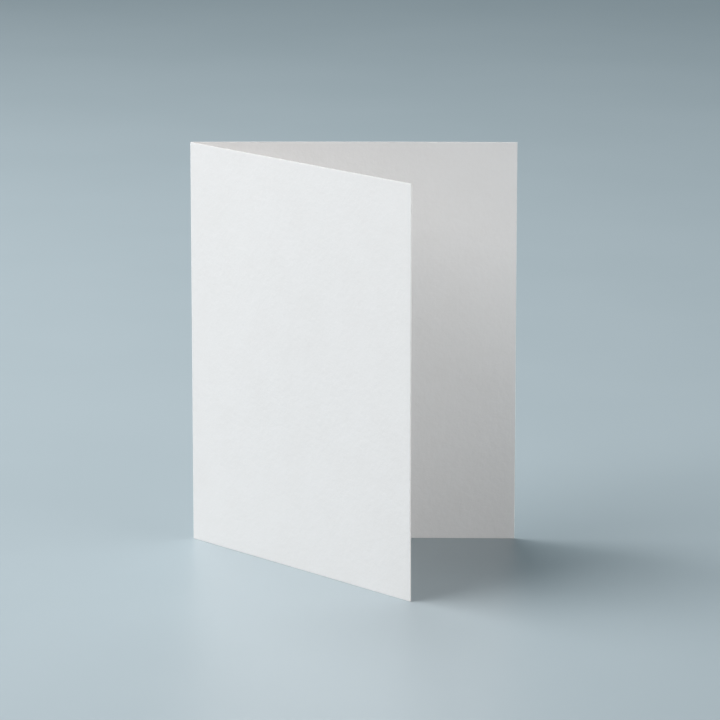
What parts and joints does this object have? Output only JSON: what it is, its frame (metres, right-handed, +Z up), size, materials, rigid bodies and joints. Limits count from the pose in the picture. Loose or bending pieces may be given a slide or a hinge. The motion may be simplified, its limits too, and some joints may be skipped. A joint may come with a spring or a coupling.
{
  "type": "greeting card",
  "caption": "Blank white greeting card of thick uncoated board with a scored side fold, standing upright and partly open.",
  "frame": {"origin": "on the surface that the card stands on, at the centre of the card's bounding box seen from above", "axes": "+Z up along the fold; +X from the fold towards the open mouth, halfway between the panels; -Y on the cover's side, +Y on the back panel's side"},
  "size_m": [0.093, 0.0828, 0.127],
  "materials": {
    "card_board": "uncoated white board, matte, with a light felt tooth"
  },
  "bodies": {
    "root": {"folded_card": "card_board"}
  },
  "joints": []
}
